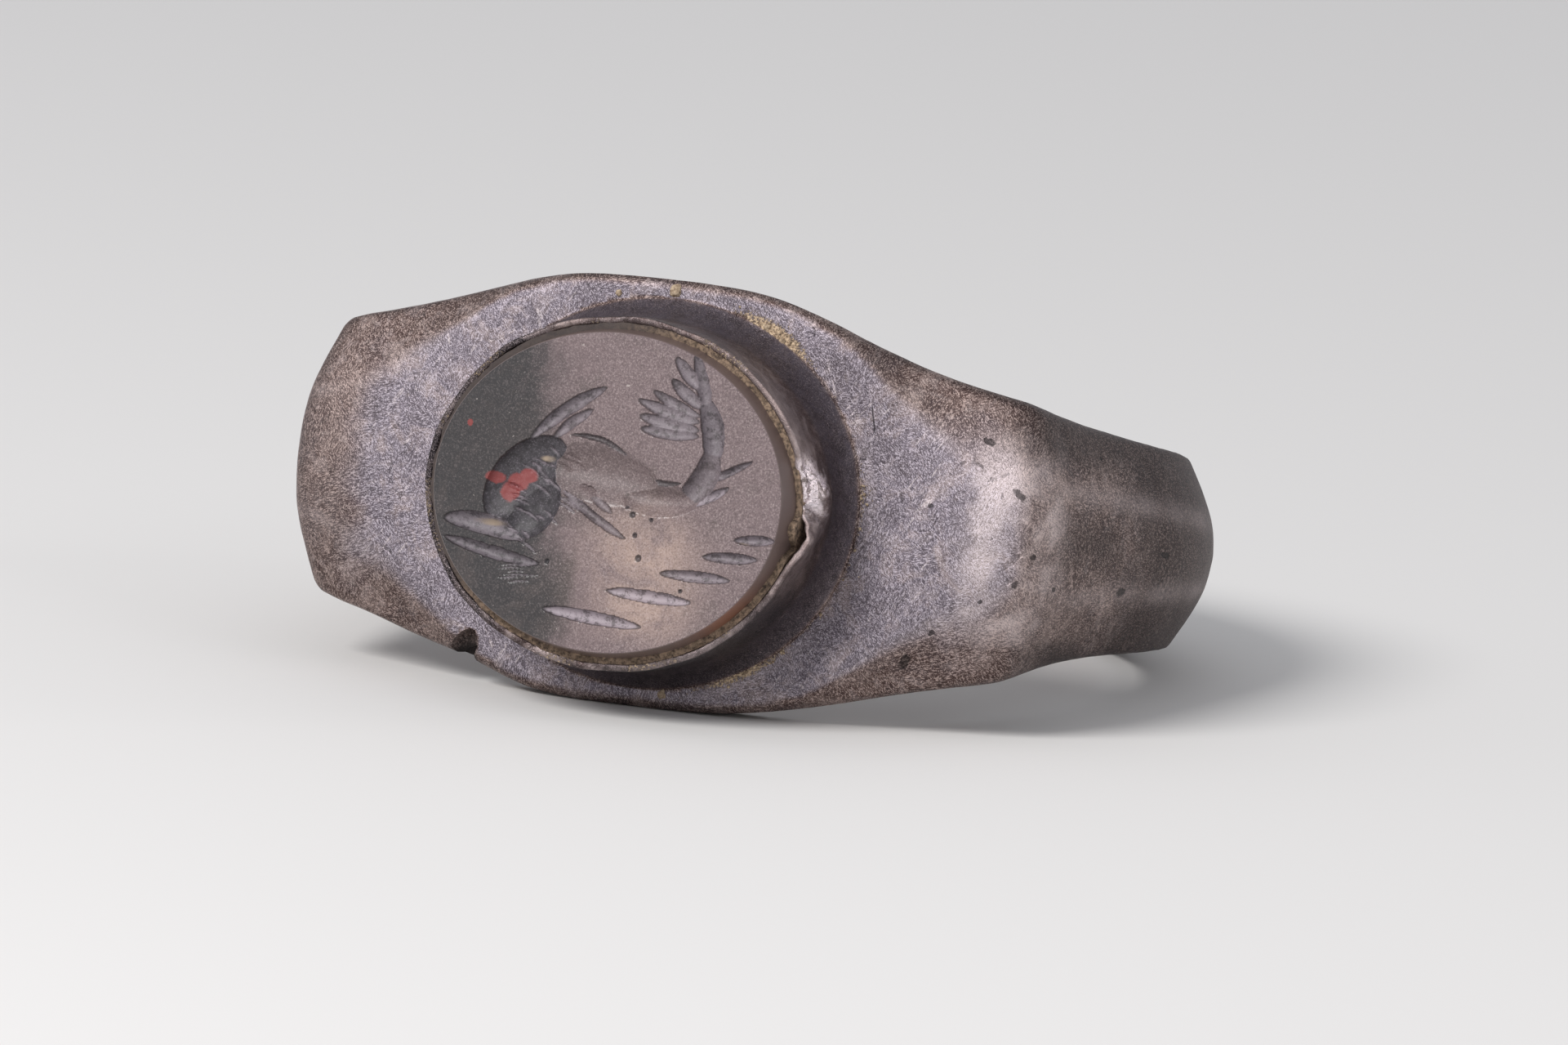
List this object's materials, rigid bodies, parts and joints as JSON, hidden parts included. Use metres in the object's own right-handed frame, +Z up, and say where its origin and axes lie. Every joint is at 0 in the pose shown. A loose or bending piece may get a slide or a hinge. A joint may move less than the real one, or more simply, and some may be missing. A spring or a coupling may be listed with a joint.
{
  "type": "intaglio finger ring",
  "caption": "Silver finger ring with widening flat shoulders and a tall oval collar that holds a flat stone, engraved with a sea-goat.",
  "frame": {"origin": "under the middle of the ring, on the surface that it lies on", "axes": "+X along the bezel to its right-hand end, +Y from the bezel towards the hoop's back, +Z up"},
  "size_m": [0.0236, 0.0248, 0.0113],
  "materials": {
    "silver": "tarnished, with fine short scratches",
    "chalcedony": "polished and cloudy",
    "setting_paste": "dry and crumbly"
  },
  "bodies": {
    "root": {"ring_band": "silver", "engraved_stone": "chalcedony", "setting_paste": "setting_paste"}
  },
  "joints": []
}
